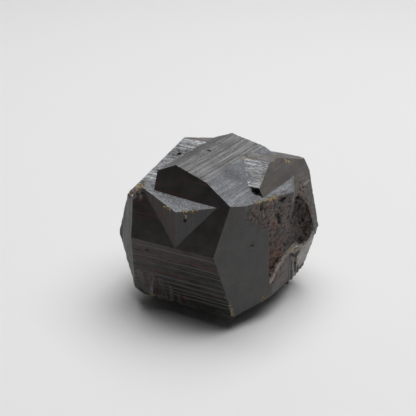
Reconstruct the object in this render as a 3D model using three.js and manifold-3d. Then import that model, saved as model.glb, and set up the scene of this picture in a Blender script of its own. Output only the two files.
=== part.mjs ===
// Pyrite crystal: an iron cross twin. Two pyritohedra, turned a quarter turn against each other, have
// grown through one another, so that the ridges of one stand out of the faces of the other.
// Millimetres, +Z up, the crystal axes along X, Y and Z. The origin is under the middle of the crystal,
// on the flat that it rests on. Lengths below are measured from the crystal's own centre.
import * as THREE from 'three';
import { mergeVertices } from 'three/addons/utils/BufferGeometryUtils.js';
import Module from 'manifold-3d';

const wasm = await Module();
wasm.setup();
const { Manifold, Mesh } = wasm;

// ---- Driving dimensions ----

const BASE = 18.2;           // depth of the resting flat
const SPAN = 90;             // length of a prism before it is cut, well past the crystal
const SEED = 11;             // start of the random numbers for step widths and rough hollows

// A habit is the common body of up to three prisms, one along each axis. A side of a prism is
// [a, b, reach, steps, relief]: the line a*p + b*q = reach*hypot(a, b) with the solid behind it.
// A face that was striated in growth has steps across it, each about relief deep.
// Sides go anticlockwise. alongX has p = y, q = z; alongY has p = x, q = z; alongZ has p = x, q = y.

const FRONT = {              // front individual: top ridge along Y, front ridge along X
  alongX: [
    [2.2, -1, 21.0, 7, 0.3],      // lower back
    [2, 1, 21.3, 7, 0.3],         // upper back
    [0, 1, 22],
    [-2.63, 1, 18.2],             // upper front, dark and smooth
    [-2.84, -1, 16.85, 13, 0.13], // lower front, striated
    [-1, -2.2, 18.6],             // undercut at the foot
    [0, -1, BASE],                // resting flat
  ],
  alongY: [
    [1, -2.12, 19.05, 5, 0.3],
    [1, 1.8, 17.75],              // right of the top ridge
    [1, 3.7, 17.85, 12, 0.07],    // flatter band beside the ridge, finely striated
    [-1, 2.2, 17.95],             // left of the top ridge
    [-1, -2, 17.7, 5, 0.3],
  ],
  alongZ: [
    [2.51, -1, 17.6],             // broad right face
    [1, 0, 18.15],                // narrow cube face
    [2.13, 1, 19.75, 5, 0.35],    // stepped face behind it
    [0, 1, 30],
    [-2.13, 1, 20.0, 8, 0.3],
    [-1, 0, 18.8],
    [-2.13, -1, 16.4],
    [0, -1, 30],
  ],
};

const BACK = {               // back individual: top ridge along X, back and side ridges crosswise
  alongX: [
    [1, -2, 21.0],
    [1, -0.7, 22.2],
    [1, 3.3, 18.85],              // behind its top ridge
    [-1, 2.6, 11.9],              // before its top ridge
    [-1, -2, 18.0],
    [0, -1, BASE],
  ],
  alongY: [
    [1, -2.12, 19.0],
    [2.6, -1, 20.35, 4, 0.3],     // below the right ridge
    [2, 1, 19.1],                 // above the right ridge
    [-3, 1, 17.5],                // above the left ridge
    [-1, 0, 19.04],               // blunt left ridge
    [-2, -1, 18.35, 5, 0.25],     // below the left ridge
  ],
  alongZ: [
    [1, 0.95, 26.2],              // back right
    [0, 1, 26.5],                 // narrow cube face between
    [-1, 2, 21.0, 6, 0.3],        // back left
    [-1, -2.2, 15.9, 8, 0.2],     // front left, a narrow striated strip
    [1, -1, 6.1],                 // rough joint behind the front individual
  ],
};

const BACK_LEFT = {          // a flat bit of crest on the left of the top ridge
  alongX: [
    [1, 1.6, 23.0],
    [1, 8, 17.95],
    [-1, 2.6, 11.9],
    [0, -1, -9],
  ],
  alongY: [
    [1, 0, -2.6],
    [-3, 1, 17.5],
    [0, -1, -9],
  ],
  alongZ: [
    [1, 0, -2.6],
    [-1, 1, 17.0],
    [-1, -2.2, 15.9],
  ],
};

const BACK_RIGHT = {         // the back individual grew higher on the right of the top ridge
  alongX: [
    [1, 1.5, 22.1],
    [1, 3.3, 18.85],
    [0, 1, 16.9],
    [-1, 2.69, 14.1],
    [-1, 0, 3.4],                 // it ends in a small upright step
    [0, -1, -10.1],
  ],
  alongY: [
    [2, 1, 19.1],
    [-1, 0, -3.9],
    [0, -1, -10.1],
  ],
  alongZ: [
    [1, 0.95, 26.2],
    [-1, 0, -3.9],
    [0, -1, 30],
  ],
};

const BACK_FOOT = {          // and reaches further forward and back below the right ridge
  alongX: [
    [1, -2, 20.9],
    [1, 0, 20.0],
    [-1, 1.5, -8.15],             // slanting top, the far end of the ledge
    [-1, 0, -5.9],
    [0, -1, BASE],
  ],
  alongY: [
    [1, -2.12, 18.9],
    [2.6, -1, 20.25],
    [2, 1, 19.0],
    [-1, 0, -3.9],
    [0, -1, BASE],
  ],
  alongZ: [
    [1, 0.95, 26.1],
    [-1, 0, -3.9],
    [2, -1, 13.0, 8, 0.3],
  ],
};

const BACK_TOE = {           // where the back individual's foot runs on under its right ridge
  alongX: [
    [1, -0.7, 22.1],
    [0, 1, -2.4],
    [-1, 0, -9.5],
    [0, -1, 12.6],
  ],
  alongY: [
    [1, -2.12, 18.9],
    [2.6, -1, 20.15],
    [-1, 0, -12],
  ],
  alongZ: [
    [1, 0.95, 27.2],
    [-1, 0, -12],
    [1, -1, 6.0],
  ],
};

const FRONT_FOOT = {         // upright steps of the front individual, under the overhanging foot
  alongX: [
    [1, 0, 19.6],
    [0, 1, -4.6],
    [-1, 0, -7.2],
    [0, -1, 15],
  ],
  alongY: [
    [1, -2.12, 19.75],
    [0, 1, -4.6],
    [-1, 0, -11],
  ],
  alongZ: [
    [1, 0.12, 18.92, 5, 0.4],
    [0, 1, 19.6],
    [-1, 0, -11],
    [0, -1, -7.2],
  ],
};

const WEDGE = {              // tip of the back individual, standing out of the upper front face
  alongX: [
    [1, 0, -12.35],
    [-1, 2.21, 18.6],
    [-1, 0, 30],
    [0, -1, -2.0],
  ],
  alongZ: [
    [1, 0, 11.0],
    [0, 1, -12.35],
    [-1, 0, 12.3],
    [-1, -2.74, 16.75],           // left flank
    [1, -2.16, 17.7],             // right flank, smooth
  ],
};

// The wedge's small bright top face leans a little to the right.
const WEDGE_TOP = { normal: [0.076, -1, 2.177], reach: 17.59 };

const CORNER = {             // worn front left corner, beside the wedge
  alongX: [
    [1, 0, -11.0],
    [-1, 2.6, 17.05],
    [-2.63, 1, 18.2],
    [0, -1, -4],
  ],
  alongZ: [
    [1, 0, -3.9],
    [0, 1, -11.0],
    [-2.13, -1, 16.4],
    [0, -1, 30],
  ],
};

// The right flank is corroded: between the broad right face and the step behind it, down to a slanting
// ledge. The ledge's outline is in y and z, and the floor of the patch is two planes with a low bend between.
const PATCH = [[-12, 12.4], [-4.9, 6.1], [-3.6, 2.1], [-2.9, -8.9], [2.3, -5.4], [7.2, -4.9], [11, -3.9], [11, 14]];
const PATCH_FLOORS = [
  { normal: [1, -0.2, -0.06], reach: 15.8 },
  { normal: [1, -0.2, 0.155], reach: 15.3 },
];

// Two corners are worn off flat: the tip at the front left, and the top one at the right.
const WORN_TIPS = [
  { normal: [-0.66, -0.35, 0.66], reach: 19.8 },
  { normal: [0.75, 0.5, 0.43], reach: 27.25 },
];

// Below this plane the foot overhangs the front individual's steps.
const OVERHANG = { normal: [0, -1, -0.92], reach: -2.19 };

// Rough hollows: middle, radii and roughness.
const HOLLOWS = [
  [[19.3, 10.8, 3.2], [3.0, 3.4, 6.8], 0.25],    // deep hollow before the right ridge
  [[20.4, 9.8, -1.2], [1.8, 2.2, 2.8], 0.25],
  [[13.7, -3.5, 12.9], [1.3, 0.9, 0.9], 0.3],    // under the small step of the raised right part
  [[17.0, 2.0, 5.3], [0.7, 0.35, 1.4], 0.3],     // crack in the corroded patch
  [[15.7, -8.3, 2.0], [0.45, 0.6, 0.5], 0.2],    // pits
  [[-0.5, 0.6, 18.6], [0.5, 0.5, 0.4], 0.2],
  [[-10.9, 4.8, 14.6], [0.6, 0.6, 0.6], 0.2],
  [[-5.8, -17.6, -0.4], [0.7, 0.4, 0.35], 0.2],
  [[3.9, -17.7, 8.9], [0.35, 0.4, 0.45], 0.2],
  [[-3.4, -14.4, 12.5], [0.35, 0.6, 0.3], 0.2],
];

// ---- Shapes ----

let state = SEED;
function random() {
  state = (state * 16807) % 2147483647;
  return state / 2147483647;
}

function corner([a, b, reach], [c, d, nextReach]) {
  const u = reach * Math.hypot(a, b);
  const v = nextReach * Math.hypot(c, d);
  const det = a * d - b * c;
  return new THREE.Vector2((u * d - v * b) / det, (a * v - c * u) / det);
}

// Growth steps from one corner to the next: each tread sinks gently inwards to a short riser.
function growthSteps(from, to, [a, b, , count = 0, relief = 0]) {
  const inward = new THREE.Vector2(-a, -b).normalize();
  const widths = Array.from({ length: count }, () => 0.35 + random());
  const total = widths.reduce((sum, width) => sum + width, 0);
  const points = [];
  let travelled = 0;
  for (const width of widths) {
    const foot = from.clone().lerp(to, (travelled + 0.8 * width) / total);
    points.push(foot.addScaledVector(inward, relief * (0.4 + 0.6 * width)));
    travelled += width;
    points.push(from.clone().lerp(to, travelled / total));
  }
  return points.slice(0, -1);
}

function outline(sides) {
  const points = sides.flatMap((side, i) => {
    const from = corner(sides.at(i - 1), side);
    const to = corner(side, sides[(i + 1) % sides.length]);
    return [from, ...growthSteps(from, to, side)];
  });
  return new THREE.Shape(points);
}

function solid(geometry) {
  geometry.deleteAttribute('normal');
  geometry.deleteAttribute('uv');
  const merged = mergeVertices(geometry, 1e-4);
  return new Manifold(new Mesh({
    numProp: 3,
    vertProperties: new Float32Array(merged.attributes.position.array),
    triVerts: new Uint32Array(merged.index.array),
  }));
}

const X = new THREE.Vector3(1, 0, 0);
const Y = new THREE.Vector3(0, 1, 0);
const Z = new THREE.Vector3(0, 0, 1);
const PLACING = {
  alongX: new THREE.Matrix4().makeBasis(Y, Z, X),
  alongY: new THREE.Matrix4().makeBasis(X, Z, Y.clone().negate()),
  alongZ: new THREE.Matrix4().makeBasis(X, Y, Z),
};

function prism(shape, axis) {
  const geometry = new THREE.ExtrudeGeometry(shape, { depth: SPAN, bevelEnabled: false });
  geometry.translate(0, 0, -SPAN / 2);
  geometry.applyMatrix4(PLACING[axis]);
  return solid(geometry);
}

function individual(habit) {
  const prisms = Object.entries(habit).map(([axis, sides]) => prism(outline(sides), axis));
  return prisms.reduce((body, next) => body.intersect(next));
}

// Everything beyond the plane with this normal at this distance from the centre.
function beyond(normal, reach) {
  const direction = new THREE.Vector3(...normal).normalize();
  const geometry = new THREE.BoxGeometry(SPAN, SPAN, SPAN);
  geometry.translate(0, 0, SPAN / 2 + reach);
  geometry.applyQuaternion(new THREE.Quaternion().setFromUnitVectors(Z, direction));
  return solid(geometry);
}

// A lump with a rough skin, to cut a hollow with.
function lump([middle, radii, roughness], detail) {
  const geometry = new THREE.IcosahedronGeometry(1, detail);
  geometry.deleteAttribute('normal');
  geometry.deleteAttribute('uv');
  const merged = mergeVertices(geometry, 1e-4);
  const position = merged.attributes.position;
  for (let i = 0; i < position.count; i += 1) {
    const vertex = new THREE.Vector3().fromBufferAttribute(position, i);
    vertex.multiplyScalar(1 + roughness * (random() - 0.5));
    position.setXYZ(i, ...vertex);
  }
  merged.scale(...radii);
  merged.translate(...middle);
  return solid(merged);
}

// ---- The crystal ----

// Left of the top ridge the front individual ends in an upright step down to the back individual.
function missingShoulder() {
  return beyond([-1, -0.05, 0], 6.6)
    .intersect(beyond([0, 0, 1], -1.3))
    .intersect(beyond([0, 1, 0], -14.9));
}

function hollowUnderFoot() {
  return beyond(OVERHANG.normal, OVERHANG.reach)
    .intersect(beyond([0, 0, -1], 4.6))
    .intersect(beyond([1, 0, 0], 11.5));
}

function corrodedPatch() {
  const area = new THREE.Shape(PATCH.map(([y, z]) => new THREE.Vector2(y, z)));
  return PATCH_FLOORS.reduce((body, floor) => body.intersect(beyond(floor.normal, floor.reach)),
    prism(area, 'alongX'));
}

function crystal() {
  const front = individual(FRONT).subtract(missingShoulder());
  const flanks = prism(outline(FRONT.alongZ.map((side) => side.slice(0, 3))), 'alongZ');
  const wedge = individual(WEDGE)
    .intersect(flanks)
    .subtract(beyond(WEDGE_TOP.normal, WEDGE_TOP.reach));
  const back = [BACK, BACK_LEFT, BACK_RIGHT, BACK_FOOT, BACK_TOE]
    .map(individual)
    .reduce((body, next) => body.add(next))
    .subtract(hollowUnderFoot());
  const grown = WORN_TIPS.reduce((body, tip) => body.subtract(beyond(tip.normal, tip.reach)), front
    .add(back)
    .add(individual(FRONT_FOOT))
    .add(individual(CORNER))
    .add(wedge)
    .subtract(corrodedPatch()));
  return HOLLOWS.reduce((body, hollow) => {
    const big = Math.max(...hollow[1]) > 2;
    return body.subtract(lump(hollow, big ? 3 : 1));
  }, grown);
}

function meshGeometry(body) {
  const mesh = body.getMesh();
  const geometry = new THREE.BufferGeometry();
  geometry.setAttribute('position', new THREE.BufferAttribute(mesh.vertProperties, 3));
  geometry.setIndex(new THREE.BufferAttribute(mesh.triVerts, 1));
  geometry.computeBoundingBox();
  const middle = geometry.boundingBox.getCenter(new THREE.Vector3());
  geometry.translate(-middle.x, -middle.y, BASE);
  const faceted = geometry.toNonIndexed();
  faceted.computeVertexNormals();
  return faceted;
}

const goethiteBrown = new THREE.MeshStandardMaterial({ color: 0x4a4441, roughness: 0.42, metalness: 0.35 });
const pyrite = new THREE.Mesh(meshGeometry(crystal()), goethiteBrown);
pyrite.name = 'pyrite_crystal';

const part = new THREE.Group();
part.add(pyrite);
export default part;
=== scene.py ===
# %% [markdown]
# A pyrite crystal, an iron cross twin. The mineral is brass-yellow inside, but air and water have turned
# its skin into goethite, dark brown-grey with a soft metallic sheen. The solid comes from the frame with
# its true facets. Here it gets its skin: fine growth lines, pits, worn edges, rusty stains, and grains of
# bright pyrite where the skin is chipped off.

# %% Load the frame
import math
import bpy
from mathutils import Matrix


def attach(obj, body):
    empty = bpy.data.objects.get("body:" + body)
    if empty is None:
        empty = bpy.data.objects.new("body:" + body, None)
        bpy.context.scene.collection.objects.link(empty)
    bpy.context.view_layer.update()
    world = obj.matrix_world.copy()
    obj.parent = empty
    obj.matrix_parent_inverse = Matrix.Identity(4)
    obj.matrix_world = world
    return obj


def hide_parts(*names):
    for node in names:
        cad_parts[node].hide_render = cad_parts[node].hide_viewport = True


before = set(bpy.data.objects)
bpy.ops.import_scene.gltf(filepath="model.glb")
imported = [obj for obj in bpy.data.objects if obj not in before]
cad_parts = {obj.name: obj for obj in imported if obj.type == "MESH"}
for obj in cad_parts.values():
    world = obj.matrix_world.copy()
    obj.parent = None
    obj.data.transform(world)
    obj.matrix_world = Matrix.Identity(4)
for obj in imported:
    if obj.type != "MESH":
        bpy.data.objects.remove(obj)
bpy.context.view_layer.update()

from types import SimpleNamespace

import bmesh
import bpy
import numpy as np
from mathutils import Matrix, Vector, geometry, kdtree

MM = 0.001
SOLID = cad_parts["pyrite_crystal"]
CENTRE = Vector((-1.284, -3.932, 18.2))     # mm, where the three crystal axes cross

# %% [markdown]
# The camera looks slightly down at the front edge, from close by, with a long lens. It comes first,
# because everything later is judged through it. It is set from angles, so each number means something.
# The numbers themselves are the result of a fit, made by another program.

# %% Set up the camera
AZIMUTH = math.radians(28.448)
ELEVATION = math.radians(22.456)
ROLL = math.radians(1.262)
DISTANCE = 235.08        # mm, from the crystal's centre to the lens
AIM_ABOVE = 4.42         # mm, how far the view is centred above the crystal's centre
LENS = 86.57             # mm
SENSOR = 36              # mm


def direction_at(azimuth, elevation):
    """Azimuth 0 is in front of the crystal, 90 degrees to its right, 180 behind."""
    level = math.cos(elevation)
    return Vector((math.sin(azimuth) * level, -math.cos(azimuth) * level, math.sin(elevation)))


def view_axes():
    """Right, up and backward of the camera, rolled a little about its line of sight."""
    right = Vector((math.cos(AZIMUTH), math.sin(AZIMUTH), 0))
    back = direction_at(AZIMUTH, ELEVATION)
    up = back.cross(right)
    rolled = right * math.cos(ROLL) + up * math.sin(ROLL)
    return rolled, back.cross(rolled), back


def add_object(name, data):
    """A new object in the scene."""
    made = bpy.data.objects.new(name, data)
    bpy.context.scene.collection.objects.link(made)
    return made


right, up, back = view_axes()
camera = add_object("camera", bpy.data.cameras.new("camera"))
camera.data.lens = LENS
camera.data.sensor_width = SENSOR
camera.data.clip_start = 0.01
place = CENTRE + back * DISTANCE + up * AIM_ABOVE
turn = Matrix((right, up, back)).transposed()
camera.matrix_world = Matrix.Translation(place * MM) @ turn.to_4x4()
bpy.context.scene.camera = camera
print("camera at, mm:", [round(v, 1) for v in place])

# %% [markdown]
# The solid's facets are a few long triangles each, too coarse to carry growth lines or pits. Cutting
# every facet into small even triangles keeps it exactly flat and its edges exactly sharp, which a voxel
# remesh wouldn't. First the loose triangles are joined up and the flat ones melted together, so that a
# facet is one face.

# %% Melt the solid into facets
SAME_POINT = 0.0005      # mm, points this close are one
SLIVER = 0.002           # mm, faces this thin are dropped
FLAT = math.radians(0.6)             # faces that meet at less than this are one facet


def melted(solid):
    """The solid's facets as one face each, in mm."""
    bm = bmesh.new()
    bm.from_mesh(solid.data)
    bmesh.ops.scale(bm, vec=(1 / MM,) * 3, verts=bm.verts)
    bmesh.ops.remove_doubles(bm, verts=bm.verts, dist=SAME_POINT)
    bmesh.ops.dissolve_degenerate(bm, dist=SLIVER, edges=bm.edges)
    bmesh.ops.dissolve_limit(bm, angle_limit=FLAT, verts=bm.verts, edges=bm.edges)
    bm.verts.index_update()
    bm.faces.index_update()
    return bm


facets = melted(SOLID)
print("facets:", len(facets.faces), "area, mm2:", round(sum(f.calc_area() for f in facets.faces)))

# %% [markdown]
# Neighbouring facets must agree on the points along their common edge, or the skin would crack open
# there. So the edges are divided first, once for both sides.

# %% Divide the edges
SPACING = 0.29           # mm, between points on edges and facets
points = [v.co.copy() for v in facets.verts]
edge_points = {}
for edge in facets.edges:
    a, b = edge.verts
    count = max(1, round(edge.calc_length() / SPACING))
    between = list(range(len(points), len(points) + count - 1))
    points += [a.co.lerp(b.co, k / count) for k in range(1, count)]
    edge_points[edge.index] = [a.index, *between, b.index]


def rim_of(face):
    """Indices of all the points around a facet, in order."""
    rim = []
    for loop in face.loops:
        line = edge_points[loop.edge.index]
        rim += line[:-1] if line[0] == loop.vert.index else line[:0:-1]
    return rim


print("points along edges:", len(points))

# %% [markdown]
# Inside its outline a facet needs points of its own. A hexagonal grid gives the most even triangles, but
# its rows would show as straight creases once the relief grows, so every point is shaken a little. Points
# too near the outline are left out, because they would make slivers.

# %% Sprinkle points over a flat outline
SHAKE = 0.12             # share of the spacing
RIM_GAP = 0.6            # share of the spacing that stays clear along the outline
ROW = SPACING * math.sqrt(3) / 2
rng = np.random.default_rng(5)


def tree_of(spots):
    """A KD-tree of (index, place) pairs, which finds the nearest place quickly."""
    tree = kdtree.KDTree(len(spots))
    for i, place in spots:
        tree.insert(place, i)
    tree.balance()
    return tree


def inside(flat, spots):
    """Which spots lie within the closed outline, by counting crossings."""
    x, y = spots[:, 0, None], spots[:, 1, None]
    x0, y0 = flat[:, 0], flat[:, 1]
    x1, y1 = np.roll(x0, -1), np.roll(y0, -1)
    crosses = (y0 > y) != (y1 > y)
    with np.errstate(divide="ignore", invalid="ignore"):
        left = x < (x1 - x0) * (y - y0) / (y1 - y0) + x0
    return (crosses & left).sum(1) % 2 == 1


def sprinkle(flat):
    """Points of a shaken hexagonal grid inside the outline."""
    low, high = flat.min(0), flat.max(0)
    ys = np.arange(low[1] + ROW / 2, high[1], ROW)
    xs = np.arange(low[0], high[0], SPACING)
    if not len(ys) or not len(xs):
        return np.zeros((0, 2))
    grid = np.array([(x + (j % 2) * SPACING / 2, y) for j, y in enumerate(ys) for x in xs])
    grid += rng.uniform(-SHAKE, SHAKE, grid.shape) * SPACING
    grid = grid[inside(flat, grid)]
    rim_tree = tree_of([(k, (p[0], p[1], 0)) for k, p in enumerate(flat)])
    clear = [rim_tree.find((p[0], p[1], 0))[2] > RIM_GAP * SPACING for p in grid]
    return grid[np.array(clear, bool)] if len(grid) else grid


print("grid rows, mm apart:", round(ROW, 3))

# %% [markdown]
# Blender's own Delaunay routine joins the points into triangles, but it also fills the bays of an outline
# that bends inwards. The outline runs anticlockwise, so the triangles inside it are those on its left, and
# all that can be reached from them without crossing it.

# %% Fill each facet with even triangles
TOUCHING = 1e-6          # mm, points closer than this are one


def inner(tris, size):
    """The triangles within an outline of that many points: those on its left, and all that they lead to."""
    at = {}
    for tri in tris:
        for k in range(3):
            at[tri[k], tri[(k + 1) % 3]] = tri
    ring = {(k, (k + 1) % size) for k in range(size)}
    front = [at[pair] for pair in ring if pair in at]
    kept = set(front)
    while front:
        tri = front.pop()
        for k in range(3):
            pair = tri[k], tri[(k + 1) % 3]
            beyond = None if pair in ring else at.get(pair[::-1])
            if beyond and beyond not in kept:
                kept.add(beyond)
                front.append(beyond)
    return [tri for tri in tris if tri in kept]


triangles = []
owner = []
for face in facets.faces:
    normal = face.normal
    side = normal.orthogonal().normalized()
    over = normal.cross(side)
    origin = face.verts[0].co
    rim = rim_of(face)
    flat = np.array([((points[i] - origin).dot(side), (points[i] - origin).dot(over)) for i in rim])
    extra = sprinkle(flat)
    spots = [Vector(p) for p in flat] + [Vector(p) for p in extra]
    ring = [(k, (k + 1) % len(rim)) for k in range(len(rim))]
    _, _, tris, sources, _, _ = geometry.delaunay_2d_cdt(spots, ring, [], 0, TOUCHING)
    tris = [tuple(sources[k][0] for k in tri) for tri in tris]
    ids = rim + list(range(len(points), len(points) + len(extra)))
    points += [origin + side * p[0] + over * p[1] for p in extra]
    for tri in inner(tris, len(rim)):
        triangles.append([ids[k] for k in tri])
        owner.append(face.index)
print("triangles:", len(triangles))

# %% [markdown]
# Each facet has its own character, set mostly by how it grew. Growth lines run along the crystal axis that
# lies in the facet. Some facets are deeply lined, some smooth, some frosted with a pale sparkling film. The
# film's paleness and sparkle are partly real and partly painted sheen, set high on the facets that mirror
# the lit paper.
# The table lists the big faces by the direction they look in. A small facet, such as the tread of a growth
# step, takes the finish of the nearest one.

# %% Give each facet its character
LOWER_FRONT = (0.00, -2.84, -1.00)
LEDGE = (0.00, -1.00, 1.48)          # on the right flank
# frost is sparkling grit, film is pale and matt and partly painted sheen, cool goes from brown at 0 to
# steel blue at 1
TRAITS = ("lines", "rust", "frost", "film_and_sheen", "cool", "metal")
FINISHES = {
    (0.00, -2.63, 1.00): (0.15, 0.30, 0.05, 0.00, 0.4, 0.08),     # upper front
    LOWER_FRONT: (0.35, 0.65, 0.10, 0.00, 0.1, 0.54),
    (2.51, -1.00, 0.00): (0.00, 0.10, 0.08, 0.03, 0.5, 0.24),     # broad right
    (1.00, 0.00, 1.80): (0.10, 0.05, 0.50, 1.06, 0.9, 0.00),      # right of the top ridge
    (1.00, 0.00, 3.70): (1.00, 0.15, 0.35, 0.85, 0.5, 0.00),      # striated band beside the ridge
    (-1.00, 0.00, 2.20): (0.50, 0.20, 0.30, 0.00, 0.4, 0.32),     # left of the top ridge
    (0.00, -1.00, 2.60): (1.10, 0.05, 0.95, 1.15, 0.7, 0.00),     # bright tops of the back individual
    (0.00, -1.00, 2.21): (0.30, 0.10, 0.55, 1.10, 0.9, 0.00),     # top of the wedge
    LEDGE: (1.00, 0.10, 0.50, 1.10, 0.1, 0.00),
    (1.00, -2.16, 0.00): (0.20, 0.05, 0.20, 0.04, 0.7, 0.04),     # right flank of the wedge
    (-1.00, -2.74, 0.00): (0.70, 0.75, 0.10, 0.00, 0.0, 0.24),    # left flank of the wedge
    (-1.00, -2.20, 0.00): (0.80, 0.10, 0.30, 0.50, 0.6, 0.00),    # narrow strip at the left
    (2.00, 0.00, 1.00): (0.30, 0.25, 0.25, 0.43, 0.1, 0.00),      # above the right ridge
    (2.60, 0.00, -1.00): (0.30, 0.10, 0.60, 0.85, 0.1, 0.04),     # below the right ridge
    (1.00, 0.00, 0.00): (0.30, 0.60, 0.20, 0.00, 0.1, 0.40),      # straight to the right
    (1.00, 0.12, 0.00): (0.90, 0.20, 0.20, 0.30, 0.2, 0.00),      # and a touch to the back
    (2.13, 1.00, 0.00): (0.80, 0.20, 0.30, 0.20, 0.3, 0.00),      # right, half to the back
    (-2.13, -1.00, 0.00): (0.60, 0.30, 0.20, 0.10, 0.4, 0.00),    # left, half to the front
    (-3.00, 0.00, 1.00): (0.30, 0.20, 0.20, 0.20, 0.4, 0.00),     # upper left
    (-2.00, 0.00, -1.00): (0.60, 0.30, 0.20, 0.10, 0.4, 0.20),    # lower left
    (1.00, 0.95, 0.00): (0.30, 0.20, 0.20, 0.10, 0.2, 0.10),      # back right
    (-1.00, 2.00, 0.00): (0.60, 0.20, 0.20, 0.10, 0.4, 0.10),     # back left
    (0.00, 1.00, 3.30): (0.40, 0.50, 0.25, 0.12, 0.2, 0.16),      # tops that fall to the back
    (0.00, 0.00, 1.00): (0.80, 0.40, 0.45, 0.45, 0.3, 0.00),      # level treads
    (0.00, 1.00, 1.60): (0.40, 0.20, 0.20, 0.20, 0.3, 0.00),      # upper back
    (0.00, 1.00, -2.00): (0.60, 0.30, 0.20, 0.05, 0.3, 0.20),     # lower back
    (1.00, 0.00, -2.12): (0.40, 0.30, 0.20, 0.05, 0.3, 0.20),     # under the right side
    (0.00, 0.00, -1.00): (0.30, 0.50, 0.20, 0.00, 0.3, 0.20),     # underside
}
DIRECTIONS = np.array(list(FINISHES), float)
DIRECTIONS /= np.linalg.norm(DIRECTIONS, axis=1)[:, None]
LOOKS = np.array(list(FINISHES.values()))
facets.normal_update()
normals = np.array([f.normal for f in facets.faces])
nearest = (normals @ DIRECTIONS.T).argmax(1)
print("facets by finish:", np.bincount(nearest, minlength=len(FINISHES)).tolist())

# %% [markdown]
# The lines run along the crystal axis that lies in the facet, or nearly so: the one whose number in the
# facet's direction is the smallest. The ledge is the one exception, because its lines climb along the
# flank.

# %% Choose the run of the growth lines
LEDGE_RUNS = (0.00, 0.83, 0.56)
axes = np.eye(3)[np.abs(np.round(DIRECTIONS[nearest], 2)).argmin(1)]
axes[nearest == list(FINISHES).index(LEDGE)] = LEDGE_RUNS
print("facets with lines along X, Y and Z:", [int((axes[:, k] == 1).sum()) for k in range(3)])
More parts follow.
